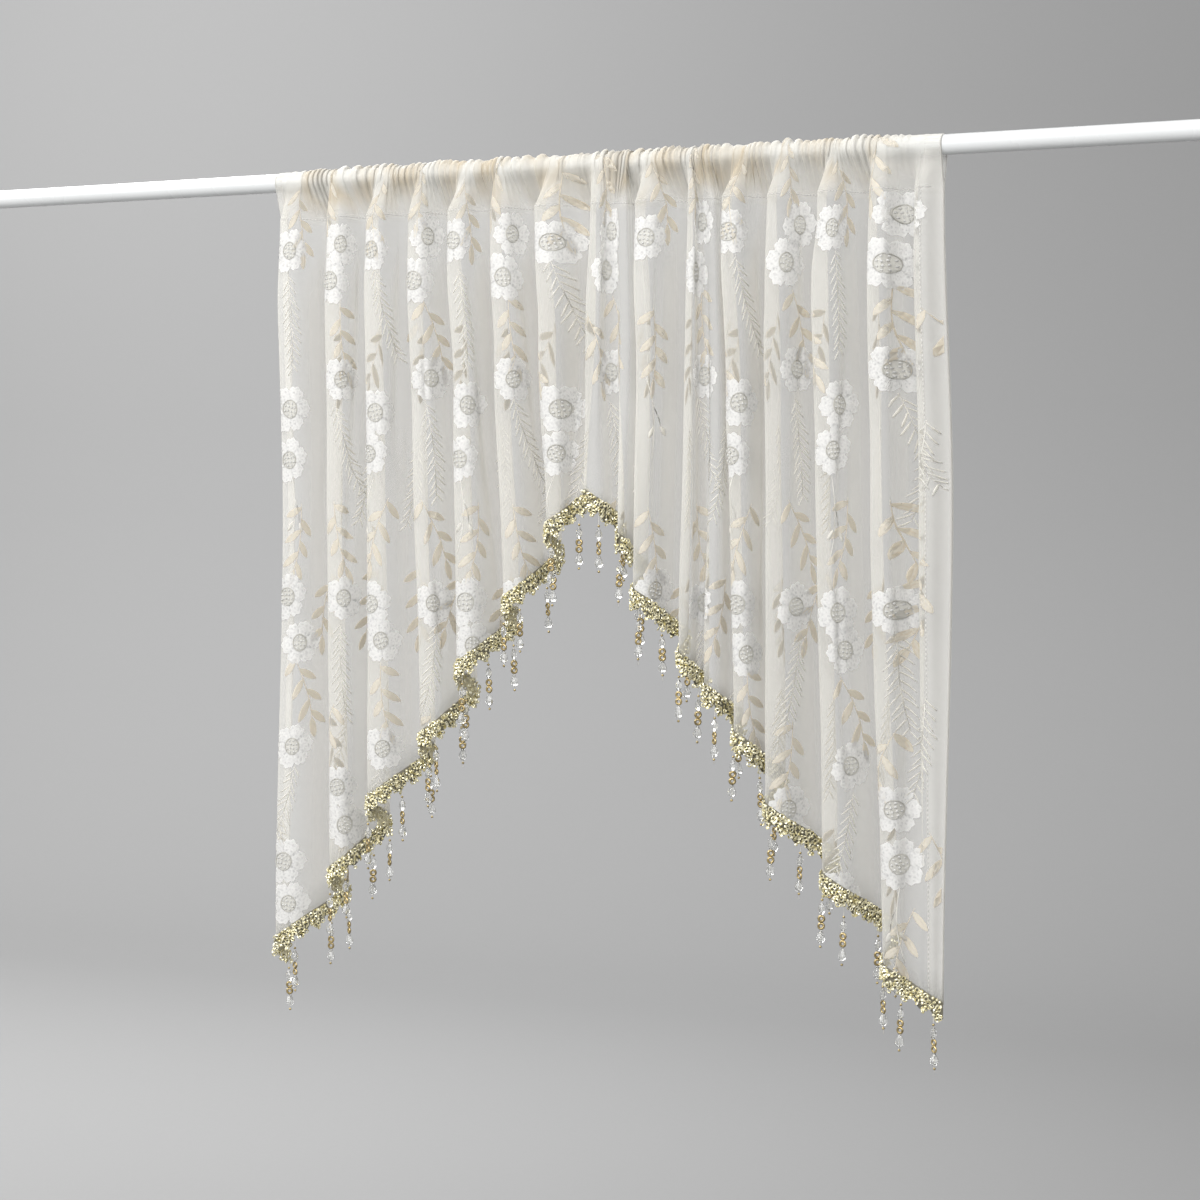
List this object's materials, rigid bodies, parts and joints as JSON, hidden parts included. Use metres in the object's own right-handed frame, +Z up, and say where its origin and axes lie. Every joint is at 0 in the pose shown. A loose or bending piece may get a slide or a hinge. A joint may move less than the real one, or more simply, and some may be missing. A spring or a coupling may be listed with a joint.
{
  "type": "sheer door curtain on a rod",
  "caption": "Sheer embroidered door curtain, gathered on a plain round rod by its sewn pocket, with an arched hem edged by a beaded braid and hanging bead strands.",
  "frame": {"origin": "centre of the rod's left end face", "axes": "+X along the rod to its right end, -Y towards the viewer, +Z up"},
  "size_m": [1.82, 0.078, 1.1044],
  "materials": {
    "rod_paint": "gloss white",
    "sheer_cloth": "sheer, slightly lustrous",
    "braid_gold": "glittering beads on a net tape",
    "thread_white": "satin stitch",
    "thread_beige": "satin stitch",
    "bead_gold": "polished",
    "bead_clear": "clear, faceted"
  },
  "bodies": {
    "root": {"rod": "rod_paint", "curtain": "sheer_cloth", "trim_left": "braid_gold", "trim_right": "braid_gold"}
  },
  "joints": []
}
